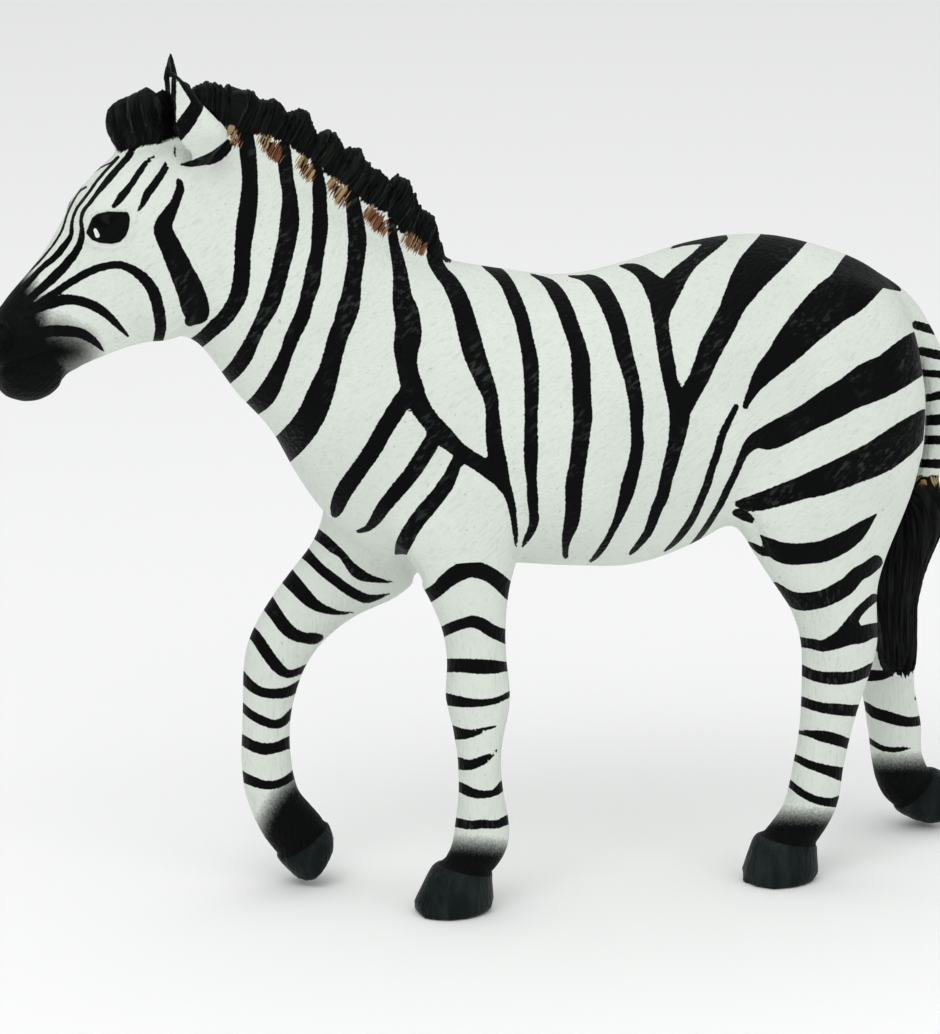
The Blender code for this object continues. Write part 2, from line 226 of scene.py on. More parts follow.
# smoothing has shortened the thin ears, so each is drawn out again to its tip. The left ear is turned
# with its opening inwards and tapers evenly, and the right ear is narrow and faces ahead.
EAR_TURN = 0.55  # radians
EAR_FRONT, EAR_ROOT = -39.4, 96.0
EAR_TIPS = ((1, (6.4, -38.9, 106.3)), (-1, (-6.4, -36.1, 106.8)))
units = drawing_units(corners(body))
for side, tip in EAR_TIPS:
    part = np.flatnonzero((units[:, 0] * side > EAR_GAP) & (units[:, 2] > EAR_ROOT)
                          & (units[:, 1] < -31.0) & (units[:, 1] > -41.0))
    ear = units[part]
    blunt_tip = ear[ear[:, 2] > ear[:, 2].max() - 0.5].mean(axis=0)
    reach = np.clip((ear[:, 2] - EAR_ROOT - 1) / (blunt_tip[2] - EAR_ROOT - 1), 0, 1) ** 1.6
    ear += reach[:, None] * (np.array(tip) - blunt_tip)
    rise = np.clip((ear[:, 2] - EAR_ROOT) / 3.5, 0, 1)
    rise = rise * rise * (3 - 2 * rise)
    if side > 0:
        turn = EAR_TURN * rise
        share = (ear[:, 2] - 94) / 12.2
        from_middle = ear[:, :2] - np.stack((4.3 + 2.1 * share, -37.0 - 1.9 * share), axis=1)
        turned_x = from_middle[:, 0] * np.cos(turn) + from_middle[:, 1] * np.sin(turn)
        turned_y = from_middle[:, 1] * np.cos(turn) - from_middle[:, 0] * np.sin(turn)
        ear[:, 0] += turned_x - from_middle[:, 0]
        ear[:, 1] += turned_y - from_middle[:, 1]
        narrow = np.interp(ear[:, 2], (97.5, 98.8, 100.6, 103.0, 106.3), (1.0, 1.04, 0.88, 0.70, 0.75))
        ear[:, 1] = EAR_FRONT + (ear[:, 1] - EAR_FRONT) * (1 + (narrow - 1) * rise)
    else:
        middle = np.interp(ear[:, 2], (96, 104, 106.8), (-35.6, -36.6, -36.0))
        ear[:, 1] = middle + (ear[:, 1] - middle) * (1 - 0.7 * rise)
    units[part] = ear
# the tuft between them stays lower than they do
poll = np.interp(units[:, 1], (-40.5, -39.5, -35.0, -33.5), (0, 1, 1, 0)) * np.interp(
    np.abs(units[:, 0]), (2.5, 3.2), (1, 0))
units[:, 2] -= poll * 0.30 * np.maximum(units[:, 2] - 100.0, 0)
units[:, 1] += MIDDLE
place_corners(body, units * UNIT)


# Paint on the body
# White acrylic all over, then black stripes put on by hand with a soft brush, whose hairs leave ragged
# edges. The muzzle and fetlocks are sprayed, so their edges fade. Each stroke is (x, y, half width) in
# pixels of the photograph.
FOREHEAD_LINES = (
    ((119, 157, 0.8), (110, 163, 0.8), (100, 168, 0.8), (90, 176, 0.8), (80, 187, 0.8)),
    ((118, 157, 1.6), (110, 166, 1.6), (100, 177, 1.6), (92, 188, 1.6), (83, 200, 1.6), (76, 210, 1.6),
     (72, 222, 1.8), (71, 235, 2.5), (65, 245, 3.5), (55, 257, 3.5), (45, 265, 3), (35, 275, 3),
     (22, 289, 3.5), (10, 301, 3.5)),
    ((133, 148, 3.5), (128, 157, 3.5), (118, 168, 3.2), (108, 180, 3.5), (98, 192, 2.5), (90, 203, 2),
     (84, 210, 2), (81, 220, 2), (82, 230, 2.5), (81, 240, 3.5), (77, 250, 4), (68, 262, 4.5),
     (57, 274, 5), (46, 284, 4.5), (32, 297, 4), (18, 309, 4)),
    ((154, 156, 1.8), (146, 163, 2.8), (138, 174, 3.2), (130, 186, 3.2), (122, 196, 4), (114, 206, 2.5)),
    ((176, 156, 2), (170, 160, 3), (164, 170, 3.5), (156, 182, 4), (148, 193, 4), (143, 203, 3),
     (137, 212, 0.8)),
    ((86, 187, 1.1), (78, 193, 1.2), (68, 212, 1.2), (62, 230, 1.2), (53, 245, 1.2), (45, 255, 1.2),
     (35, 266, 1.2), (22, 278, 1.2), (10, 289, 1.2)),
)
CHEEK_STRIPES = (
    ((179, 181, 3), (180, 189, 4.5), (175, 203, 5), (169, 214, 7), (163, 229, 9.5), (171, 248, 10.5),
     (181, 270, 12), (190, 290, 13.5), (195, 306, 14), (197, 312, 12.5)),
    ((190, 321, 5.5), (197, 317.5, 6), (203, 313.5, 4.5)),
    ((28, 313, 4.5), (45, 300, 4.5), (58, 291, 4), (72, 281.5, 4), (88, 272.5, 4.2), (104, 266.5, 4),
     (120, 265, 4), (132, 269.5, 4.5), (144, 278.5, 5.5), (152.5, 290, 6), (157, 303, 6), (160, 318, 6),
     (160.5, 330, 5.5), (158, 341, 5)),
    ((22, 314, 6), (40, 306, 6), (55, 302, 5.5), (68, 299.5, 5.3), (82, 301.5, 5), (96, 307, 5),
     (108, 315.5, 4.2), (118, 325.5, 3.2), (128, 336, 1.3)),
    ((34, 334, 6), (52, 331, 5.8), (66, 331, 5.8), (80, 333, 5.2), (90, 338, 4.5), (98, 345, 2.8),
     (103, 350.5, 1.2)),
)
NECK_BANDS = (
    ((244, 128, 8), (247.6, 150, 8.4), (250, 180, 8), (249, 200, 9), (246, 223, 9.5), (242.7, 250, 8.2),
     (242.2, 270, 8.4), (239, 293, 8.8), (233, 306, 8.2), (225, 318, 8), (214, 328, 7.6), (203, 338, 7),
     (190, 348, 7)),
    ((283, 148, 7.5), (285.3, 165, 7.4), (287, 180, 7), (289, 191, 7.2), (290, 202, 8), (289.5, 223, 10),
     (287, 240, 9.2), (284.8, 250, 9.4), (280.2, 270, 8.8), (273.9, 293, 9.1), (269.8, 305, 8.9),
     (263.9, 317, 7.8), (258, 328, 6.8), (252, 341, 7.2), (245, 355, 8.3), (237, 367, 8), (228, 376, 7.4),
     (214, 388, 7)),
    ((316, 165, 6), (318.5, 180, 6.2), (319.6, 191, 7.4), (320, 205, 7.2), (320.2, 223, 8.1),
     (318.9, 240, 7.8), (317.7, 250, 7.1), (313.8, 270, 8.2), (311.9, 282, 8.5), (308.7, 293, 7.8),
     (305.4, 305, 7.2), (301.9, 317, 8), (296.4, 328, 7.5), (291, 340, 7.4), (286.7, 352, 6.8),
     (282.4, 363, 7.5), (276, 377, 8.6), (270, 389, 10), (263, 399, 10), (254, 407, 8.8),
     (240, 418, 8.4)),
    ((350, 190, 7), (353.5, 206, 7.8), (355.8, 223, 8.8), (357.5, 240, 9.3), (356.8, 250, 9.3),
     (356, 261, 8.6), (352.7, 282, 8.7), (350.5, 300, 10.3), (347, 312, 11), (343.3, 324, 10),
     (338.6, 335, 10), (334.2, 350, 9.7), (330.9, 363, 10), (327.5, 375, 11), (322.9, 387, 12.6),
     (318, 400, 13.5), (313, 412, 13.8), (304, 427, 14.2), (290, 443, 14.5), (272, 459, 14)),
    ((391, 222, 5), (393, 237, 5), (395, 248, 5.6), (397.5, 258, 6.4), (400, 272, 7.4), (401.6, 288, 8.8),
     (402.8, 300, 10.4), (406.3, 312, 12.6), (408.2, 324, 12.8), (408, 336, 13.7), (406.3, 348, 12.6),
     (406.5, 360, 10.8), (408.5, 374, 10.4), (411.5, 384, 11), (416, 398, 10.6), (423, 411, 9.8),
     (432, 423, 9.5), (441, 433, 10), (450, 442, 9), (460, 451, 8), (470, 458, 8), (481, 465, 8),
     (492, 473, 8), (502, 484, 5)),
)
SHOULDER_BRANCHES = (
    ((406, 396, 9), (397, 409, 9.2), (390, 420, 8.8), (382, 433, 8.8), (375, 446, 8.8), (366, 460, 8.5),
     (358, 471, 8.5), (348, 485, 8.8), (341, 497, 8.3), (337, 508, 7), (335, 514, 4)),
    ((437, 434, 8), (428, 448, 8.3), (420, 461, 8.3), (411, 474, 8), (401, 486, 8), (392, 497, 7.6),
     (383, 508, 7), (376, 519, 5.8), (368, 528, 3.6), (360, 531, 2.2), (354.5, 532, 1)),
    ((461, 454, 6), (454, 468, 6), (448, 481, 7.3), (440, 493, 7.8), (430, 505, 8), (420, 517, 8),
     (411, 530, 8), (404, 543, 8), (401, 552, 6.5)),
)
TRUNK_BANDS = (
    ((434, 255, 8), (436, 263, 7.5), (441, 272, 7.2), (449, 281, 8), (455, 291, 9), (460, 302, 9.6),
     (464.5, 316, 10), (468, 330, 10.7), (471.5, 344, 11), (475.5, 357, 10.8), (480, 369, 10),
     (484.5, 381, 9.3), (489, 392, 8.2), (491.5, 402, 7.2), (492.5, 414, 6.8), (493.5, 428, 8),
     (494.5, 443, 8.5), (497, 458, 9), (499, 470, 9.5), (502, 481, 8), (508, 493, 5), (511.5, 505, 4),
     (514, 520, 3.2), (515.5, 535, 2.6), (516, 548, 0.8)),
    ((478, 261, 1), (488, 267, 4), (498, 273, 6), (506, 282, 6.5), (512, 294, 7), (517, 306, 7.3),
     (522, 320, 7.3), (525, 334, 7.3), (528, 347, 7.5), (530.5, 362, 8), (531.5, 380, 7.5),
     (531.5, 398, 7.2), (531, 416, 6.5), (531, 436, 7), (531, 456, 7.2), (531, 472, 6), (532, 484, 5.2),
     (532.5, 496, 5.8), (533.5, 510, 5), (534, 522, 4.8), (530, 533, 4), (525.5, 541, 2.8),
     (522.5, 547, 1)),
    ((530, 274, 0.8), (541, 278.5, 3), (550, 285, 6), (557, 294, 7.5), (563, 305, 8), (568, 318, 8.3),
     (573, 332, 8.3), (577.5, 345, 8.3), (580.3, 358, 9.2), (581, 370, 9.8), (581.7, 385, 9.3),
     (582, 402, 9.6), (583, 417, 9.6), (581.5, 433, 9), (579.5, 449, 8.8), (577.5, 466, 8.3),
     (574.5, 482, 9), (573.5, 497, 8.4), (573, 511, 8), (571, 524, 7.5), (567, 537, 5.2),
     (565.5, 547, 3.5), (565.5, 556, 3)),
    ((568, 276, 1), (580, 277.5, 2.5), (590, 280, 6), (599, 287, 8.5), (606, 298, 9), (612, 310, 9.3),
     (617, 323, 9.3), (620.5, 336, 9), (623.5, 350, 8.8), (627.5, 364, 8), (631.5, 378, 7.8),
     (634.3, 393, 7.5), (636.8, 408, 7.3), (636.6, 426, 6.2), (637.5, 442, 6.6), (635.7, 458, 6.8),
     (632.5, 471, 7), (629, 484, 7.6), (625.5, 497, 6.8), (621, 511, 5.2), (615.5, 524, 4),
     (609.5, 536, 3.4), (603, 547, 3.4), (596, 556, 2.8), (587, 564, 1)),
)
CROUP_FORK = (
    ((619, 266, 0.8), (630, 267, 4), (640, 271.5, 6.5), (650, 281, 9), (658, 292, 12), (662, 300, 12.5),
     (661, 311, 10), (661.3, 322, 7.7), (662.6, 334, 7.4), (664.7, 348, 7.6), (666, 358, 7.5),
     (668.2, 368, 7.8), (669.7, 378, 7.3), (672.5, 388, 8), (677, 398, 10), (679.5, 412, 10.4),
     (679, 424, 9.8), (676.5, 440, 8.3), (673, 454, 7.4), (669.5, 468, 7.1), (666.5, 478, 6.3),
     (664.5, 488, 6.4), (662, 498, 6.3), (657, 508, 5.8), (652.5, 521, 5.2), (648, 532, 4.5),
     (640, 543, 3.5), (633, 551, 2.5), (627, 556, 0.8)),
    ((724, 238, 4), (712, 245, 6.5), (702, 253, 6.5), (692, 262, 6.5), (682, 272, 8.5), (673, 284, 11),
     (666, 296, 12), (661, 310, 9.5)),
    ((671, 248, 1.0), (684, 243.5, 2.4), (697, 240.5, 4), (712, 238.5, 5), (723, 237.5, 4)),
    ((790, 230, 21), (775, 248, 20), (757, 267, 19), (748, 279, 17), (741, 291, 15), (735, 301, 13),
     (730, 312, 11.8), (723, 326, 12.3), (717, 337, 12), (711, 348, 12), (707, 358, 11), (703, 368, 10.6),
     (698, 380, 10), (692, 390, 10), (686, 400, 10.5), (681, 408, 11)),
)
RUMP_STRIPES = (
    ((878, 256, 25), (863, 273, 25), (848, 291, 23.5), (831, 303, 22.3), (816, 317, 20.5),
     (802.5, 330.5, 18.5), (790, 345, 16.2), (779, 358, 13.3), (768, 369, 11), (760, 379, 8.6),
     (754, 389, 5.8), (749, 398, 4.2), (745.5, 406, 3.2)),
    ((866, 268, 14), (884, 280, 8), (900, 290, 1.5)),
    ((934, 347, 19), (920, 352, 21), (905, 362, 21), (888, 374, 20), (870, 382, 20.3), (850, 393, 17),
     (830, 404.5, 16.4), (810, 416, 14.2), (790, 427, 13.5), (771, 436.5, 12.9), (757, 440, 8.5),
     (748, 447, 6), (742.5, 456, 4.1), (737.5, 468, 3.8), (732, 480, 3.6), (726, 492, 3.8),
     (720.5, 504, 3.6), (715, 513, 3.2), (709, 523, 3.2), (702, 533, 2.8), (694.5, 541.5, 2),
     (687, 548, 0.7)),
    ((736, 407, 3.0), (731.5, 416, 3.4), (727, 425, 3.8), (721.5, 437, 4), (717.5, 453, 4), (711, 471, 4),
     (707, 485, 4.2), (701.5, 498, 4), (695.5, 512, 4), (689.5, 523, 4), (682.5, 533, 3.7),
     (674, 543, 2.8), (667, 549, 1.6), (662.5, 553, 0.6)),
    ((924, 415, 6), (910, 433, 15), (893, 447, 17.5), (876, 458, 17.3), (857, 466.5, 16.2),
     (838, 475, 15), (820, 482, 14), (802, 488, 11.6), (784, 494, 10.8), (766, 500, 9.7), (752, 503.5, 8),
     (743, 503.5, 5.2), (737, 504, 3)),
    ((877, 513.5, 0.8), (869, 521.5, 4), (860, 530, 7.5), (849, 539, 9.5), (836, 546, 10.5),
     (822, 551.5, 11), (806, 553.5, 10.5), (791, 554, 11), (779, 551.5, 10), (771, 546, 7.5),
     (765, 540, 3.5), (760.5, 535, 0.8)),
    ((735, 512.5, 3.4), (740, 513.5, 5.0), (746, 516.5, 5.0), (752, 520, 3.2)),
    ((748, 542, 1), (755, 547, 3.2), (763, 552, 4), (768, 556, 1.5)),
)
NEAR_HIND_BANDS = (
    ((775, 588, 6), (787, 596, 6.5), (799, 601.5, 8.8), (812, 601, 9), (825, 598, 8.8), (838, 591.5, 9),
     (848, 585, 8.5), (858, 574, 7.5), (866, 570, 7.5), (876, 562, 7)),
    ((794, 640, 5), (803, 642.5, 5), (813, 644, 5.3), (823, 646, 5.8), (833, 642.5, 7.5), (843, 638, 9),
     (850, 634, 11), (861, 634.5, 9), (871, 631, 7.5), (884, 629, 7.5)),
    ((846, 632, 8), (852, 622, 6), (858, 613, 4.8), (865, 605.5, 4.5), (874, 598, 4.5)),
    ((790, 664, 5), (800, 669, 5), (810, 674, 5.5), (822, 677.3, 5.8), (836, 678.3, 6.5), (850, 677.5, 6),
     (860, 674.5, 5.5), (870, 669.5, 5.5), (880, 664, 5)),
    ((792, 697, 4.5), (802, 701.5, 4.8), (812, 705, 5), (824, 708, 5.3), (838, 709.5, 6),
     (850, 710.5, 5.8), (860, 710.5, 6), (870, 711, 6)),
    ((790, 731, 2.2), (800, 732, 2.4), (812, 734, 4), (824, 736.5, 6), (836, 739.5, 6), (846, 743, 5.5),
     (856, 746, 5.5)),
    ((788, 754, 3.5), (797, 758.5, 3.6), (807, 763.5, 4.2), (818, 767.5, 4.6), (830, 771, 5.5),
     (841, 774, 7), (852, 776, 7.5)),
    ((784, 779, 3.5), (791, 784.5, 3.6), (799, 791, 3.8), (809, 797, 4), (820, 801, 4.2),
     (831, 802.5, 4.5), (840, 801.5, 6), (850, 799, 6)),
)
FAR_HIND_BANDS = (
    ((800, 500, 7), (840, 512, 8), (880, 516, 8), (930, 510, 7)),
    ((805, 546, 7), (850, 556, 8), (885, 560, 8), (925, 556, 7)),
    ((820, 588, 7), (850, 600, 7.5), (880, 606, 7.5), (920, 602, 7)),
    ((820, 630, 6), (850, 640, 6.5), (880, 645, 6.5), (930, 640, 6)),
    ((852, 672, 5), (862, 675, 5.5), (875, 675.5, 5.6), (885, 674.5, 4.5), (892, 672.5, 2.8),
     (897, 671, 0.8)),
    ((858, 702, 3.5), (866, 706, 3.8), (875, 713, 5.5), (886, 716.5, 5.8), (898, 720, 5.8), (910, 722, 5),
     (922, 720, 5), (932, 716, 6)),
    ((866, 738, 2.4), (873, 743, 2.6), (882, 748, 2.8), (893, 750, 2.8), (903, 748.5, 2.6),
     (912.5, 747, 0.8)),
    ((916.5, 692, 0.8), (915.5, 700, 1.3)),
)
NEAR_FORE_BANDS = (
    ((417, 603, 7), (427, 596.5, 7.2), (437, 590, 7), (447, 580.5, 8), (458, 573, 8.8), (469, 569, 8.8),
     (480, 570.5, 8.3), (491, 575.5, 7.8), (501, 583, 8), (511, 593, 8)),
    ((432, 636, 5.5), (441, 632.5, 5.3), (452, 627.5, 5.5), (463, 623.5, 5.5), (473, 621.5, 6),
     (482, 624.5, 6.5), (492, 631, 6.5), (503, 635.5, 7), (513, 640, 7)),
    ((438, 666, 6.5), (449, 665.5, 6.8), (462, 665.5, 7), (478, 666.5, 7.5), (494, 667, 7),
     (505, 666.5, 5), (515, 667, 5)),
    ((436, 697, 5.8), (446, 699, 6), (458, 701.5, 5.6), (472, 703, 4.4), (486, 702.5, 3.6),
     (498, 700, 3.2), (508, 695, 3), (517, 690, 3)),
    ((444, 729, 7), (453, 732.5, 6.8), (462, 734, 5.6), (472, 733.5, 4), (483, 730, 2.6),
     (497, 726, 0.7)),
    ((450, 762, 6), (459, 763.5, 6.2), (469, 765, 5.2), (479, 762, 5), (488, 757.5, 3.4),
     (494, 753.5, 1.8), (498, 748.5, 0.6)),
    ((452, 784, 4.5), (462, 788, 5), (472, 793, 4.8), (484, 794.5, 4), (495, 792.5, 3.5), (502, 786, 4.5),
     (509, 778, 4)),
    ((449, 821, 5), (459, 823, 4.8), (470, 825, 4.6), (483, 824, 4.5), (496, 824.5, 4.3),
     (506, 820.5, 4.6), (516, 815, 4.5)),
)
FAR_FORE_BANDS = (
    ((308, 526, 5.5), (316, 533.5, 5.5), (325, 540.5, 5.5), (334, 548.5, 5.2), (342, 554.5, 4),
     (349, 564, 4.5), (357, 572.5, 6), (367, 577.5, 4.5), (380, 580.5, 2.4), (395, 582.5, 0.7)),
    ((297, 545, 6), (304, 552, 6), (313, 561, 5), (322, 570, 5), (333, 578.5, 5.2), (344, 587, 5.2),
     (355, 594, 5.3), (366, 598.5, 4.8), (377, 597.5, 2.8), (390, 593.5, 0.7)),
    ((280, 566, 8), (288, 577, 8.3), (297, 587, 7.8), (306, 597, 7), (316, 605.5, 5.5), (327, 610, 4),
     (340, 613, 2.2), (354, 612.5, 0.7)),
    ((263, 596, 8), (270, 606, 7.3), (277, 616, 6.8), (285, 627, 6.8), (294, 634.5, 6.2), (305, 638, 5.5),
     (314, 638.5, 6), (321, 637, 3)),
    ((240, 622, 5.5), (248, 629, 5.8), (256, 637, 5.8), (264, 649, 6), (271, 659, 6), (279, 668.5, 5.8),
     (288, 674, 4.2), (298, 671.5, 3.6), (308, 667, 3.5)),
    ((234, 666, 4), (241.5, 675, 4.5), (250, 685, 5), (260, 691.5, 4.8), (272, 693.5, 5), (284, 693, 5.2),
     (293, 689.5, 5), (302, 684, 5)),
    ((234, 700, 3.5), (242, 706.5, 3.8), (251, 714.5, 4.2), (262, 720.5, 4.8), (273, 724.2, 4.4),
     (281, 723, 4.5), (288, 717, 4), (296, 708, 3.5)),
    ((233, 734, 4.5), (242, 739.5, 5), (252, 745.5, 5.5), (264, 749, 6), (276, 747.5, 5.5), (288, 743, 6),
     (297, 739, 6)),
    ((232, 767, 4.5), (241, 775.5, 5), (251, 780.5, 5), (262, 784.5, 4.6), (273, 785, 4.3),
     (284, 781.5, 4.2), (293, 775, 4), (302, 767, 4)),
)
DOCK_BANDS = (
    ((916, 325, 4.5), (930, 329, 4.5), (950, 333, 5)),
    ((920, 351, 4.5), (934, 354, 4.8), (950, 357, 5)),
    ((922, 373, 3.5), (936, 374, 4), (952, 376, 4.5)),
    ((918, 399.5, 3.5), (930, 397.5, 4), (950, 393, 5)),
    ((912, 421.5, 4), (925, 420.5, 5), (950, 419, 6)),
    ((912, 440, 4.2), (925, 440, 4.6), (950, 440, 4.5)),
    ((906, 460, 4), (920, 463, 4.4), (950, 464, 5)),
)
EAR_STROKES = (
    ((174, 79, 2.6), (173.5, 95, 2.6), (173.5, 115, 2.6), (173, 139, 2.4)),
    ((168, 72, 5), (177, 72, 6), (183, 78, 6), (188, 87, 5.5), (194, 96, 5), (201, 104, 3)),
    ((199, 100, 6), (195, 109, 7.5), (188, 120, 8), (181, 130, 7.5), (176, 138, 5.5)),
)
EAR_BASE = (
    ((172, 139, 1.2), (174, 146, 1.2), (176, 157, 1.2), (181, 164, 1.2)),
    ((182, 164, 1.5), (190, 164, 3), (202, 161, 4.5), (213, 157.5, 6), (222, 151.5, 6.2), (228, 145, 5),
     (231.5, 138, 2.5)),
)
MUZZLE_SPRAY = (((-6, 285, 31), (0, 318, 40), (12, 350, 42), (27, 380, 43)),)
NEAR_FORE_SPRAY = (((430, 884, 36), (462, 890, 44), (500, 890, 40)),)
NEAR_HIND_SPRAY = (((745, 868, 38), (775, 862, 43), (800, 858, 40), (830, 850, 30)),)
FAR_FORE_SPRAY = (((344, 850, 83), (346, 852, 83)),)
FAR_HIND_SPRAY = (((880, 830, 66), (900, 832, 68), (925, 835, 72)),)
MANE_PATCH = ((160, 60), (160, 138), (200, 136), (228, 132), (240, 132), (262, 136), (283, 141),
              (298, 152), (318, 166), (332, 178), (350, 190), (365, 203), (388, 214), (400, 232),
              (424, 246), (436, 260), (450, 262), (470, 150), (300, 40), (160, 30))
FORELOCK_PATCH = ((119, 152), (110, 142), (106, 132), (104, 122), (106, 110), (112, 100), (120, 92),
                  (134, 86), (150, 82), (163, 70), (178, 55), (184, 70), (182, 130), (172, 139),
                  (166, 140), (159, 144), (147, 145), (136, 148), (129, 150))
# a painted highlight: a small white glint in the eye
PAINTED_EYE_GLINT = (((95.2, 230, 1.7), (97.4, 235.5, 2.3)),)
EYE_PATCH = ((86, 233), (92, 218), (97, 214), (108, 211.5), (128, 212), (130, 218), (129, 228),
             (126, 236), (120, 242), (112, 244), (100, 243), (92, 240))
ROOT_STREAKS = (
    ((231, 131, 4), (236, 143, 4)),
    ((264, 140, 6), (272, 150, 8), (276, 157, 5)),
    ((302, 162, 6), (306, 170, 7), (309, 177, 5)),
    ((334, 185, 6), (340, 195, 8), (342, 203, 5)),
    ((369, 212, 6), (377, 222, 8), (384, 231, 5)),
    ((408, 240, 6), (416, 246, 7), (422, 250, 4)),
)
# painted shade around the mouth's corner, darkening it as the spray does
MOUTH_SHADE = (((38, 352, 15), (52, 352, 12), (64, 352, 7), (74, 351, 2)),)
PIXELS_PER_MM = 8.38
PIXELS_PER_UNIT = 8
REACH = 40.0  # pixels, farther from a stroke than any paint or fold reaches
HAZE_REACH = 60.0
MASK_LIMIT = 3.0  # millimetres
FOLD_X = -0.0020  # metres, the plane that mirrors the pattern, at the back's outline in the photograph


def smooth_line(points, step=3.0):
    """A rounded line through the points, one point every few pixels."""
    p = np.array(points, dtype=float)
    p = np.vstack((2 * p[0] - p[1], p, 2 * p[-1] - p[-2]))
    out = []
    for a, b, c, d in zip(p[:-3], p[1:-2], p[2:-1], p[3:]):
        count = max(1, int(np.hypot(*(c - b)[:2]) / step))
        for t in np.arange(count) / count:
            out.append(0.5 * (2 * b + (c - a) * t + (2 * a - 5 * b + 4 * c - d) * t * t
                              + (3 * b - a - 3 * c + d) * t ** 3))
    out.append(p[-2])
    return np.array(out)


def from_strokes(spots, strokes, reach=REACH):
    """Distance from each spot to the nearest stroke's edge in pixels, below zero inside."""
    nearest = np.full(len(spots), reach)
    for stroke in strokes:
        line = smooth_line(stroke)
        low = line[:, :2].min(axis=0) - line[:, 2].max() - reach
        high = line[:, :2].max(axis=0) + line[:, 2].max() + reach
        inside = np.flatnonzero(((spots > low) & (spots < high)).all(axis=1))
        if not len(inside):
            continue
        local, best = spots[inside], nearest[inside]
        for start, end in zip(line[:-1], line[1:]):
            run = end[:2] - start[:2]
            along = np.clip((local - start[:2]) @ run / max(run @ run, 1e-9), 0, 1)
            gap = np.hypot(*(local - start[:2] - along[:, None] * run).T)
            best = np.minimum(best, gap - (start[2] + along * (end[2] - start[2])))
        nearest[inside] = best
    return nearest


def from_patch(spots, outline):
    """Distance from each spot to a closed outline in pixels, below zero inside."""
    ring = np.array(outline, dtype=float)
    gap = np.full(len(spots), 1e9)
    inside = np.zeros(len(spots), dtype=bool)
    x, y = spots.T
    for a, b in zip(ring, np.roll(ring, -1, axis=0)):
        run = b - a
        along = np.clip((spots - a) @ run / (run @ run), 0, 1)
        gap = np.minimum(gap, np.hypot(*(spots - a - along[:, None] * run).T))
        if a[1] != b[1]:
            crosses = (a[1] > y) != (b[1] > y)
            inside ^= crosses & (x < a[0] + (y - a[1]) * run[0] / run[1])
    return np.where(inside, -gap, gap)


def fade(value, start, end):
    t = np.clip((value - start) / (end - start), 0, 1)
    return t * t * (3 - 2 * t)


